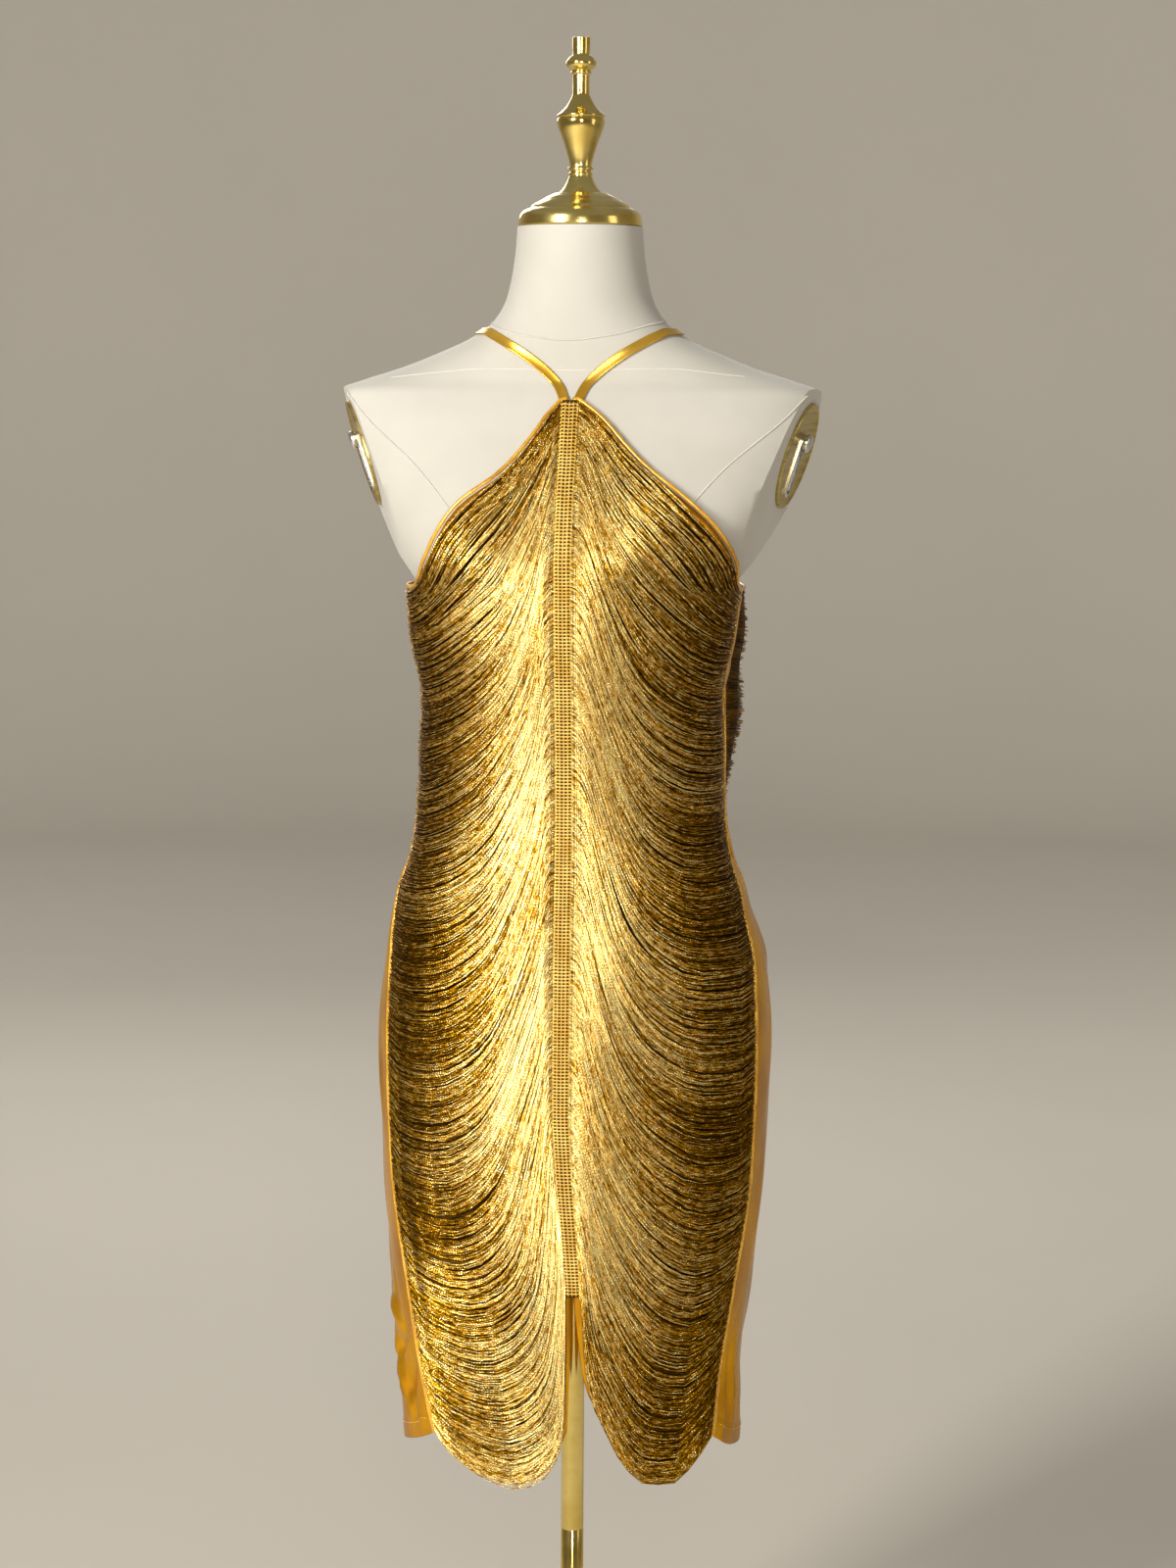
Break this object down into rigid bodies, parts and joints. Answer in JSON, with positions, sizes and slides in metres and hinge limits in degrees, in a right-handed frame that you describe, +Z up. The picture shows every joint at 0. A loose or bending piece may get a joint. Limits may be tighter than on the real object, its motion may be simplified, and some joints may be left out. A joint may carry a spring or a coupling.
{
  "type": "fringe mini dress on a limbless dress form",
  "caption": "Halter mini dress with swags of loop fringe from a centre braid to plain satin side panels, worn on a limbless dress form with a turned neck cap, a pole and a round base.",
  "frame": {"origin": "centre of the base's underside, where the stand meets the floor", "axes": "+Z up, -Y the way the dress faces, +X towards the wearer's left"},
  "size_m": [0.3846, 0.32, 1.4997],
  "materials": {
    "form_cover": "stretched cream jersey cover with fine raised seams, matt",
    "gilt_metal": "polished gilt metal",
    "arm_fitting": "bright plated metal fitting",
    "satin": "gold satin with soft sheen",
    "satin_binding": "narrow gold satin binding and piping",
    "satin_ribbon": "flat gold satin ribbon",
    "fringe": "fine shiny gold rayon threads"
  },
  "bodies": {
    "root": {"dress_form_body": "form_cover", "neck_cap_finial": "gilt_metal", "arm_plate_left": "gilt_metal", "arm_plate_right": "gilt_metal", "arm_knob_left": "arm_fitting", "arm_knob_right": "arm_fitting", "form_collar": "gilt_metal", "form_pole": "gilt_metal", "form_base": "gilt_metal", "halter_strap": "satin_ribbon", "neck_binding_left": "satin_binding", "neck_binding_right": "satin_binding", "panel_side_left": "satin", "panel_side_right": "satin", "panel_front_left": "satin", "piping_front_left": "satin_binding", "fringe_front_left": "fringe", "panel_front_right": "satin", "piping_front_right": "satin_binding", "fringe_front_right": "fringe", "panel_back_left": "satin", "piping_back_left": "satin_binding", "fringe_back_left": "fringe", "panel_back_right": "satin", "piping_back_right": "satin_binding", "fringe_back_right": "fringe"}
  },
  "joints": []
}
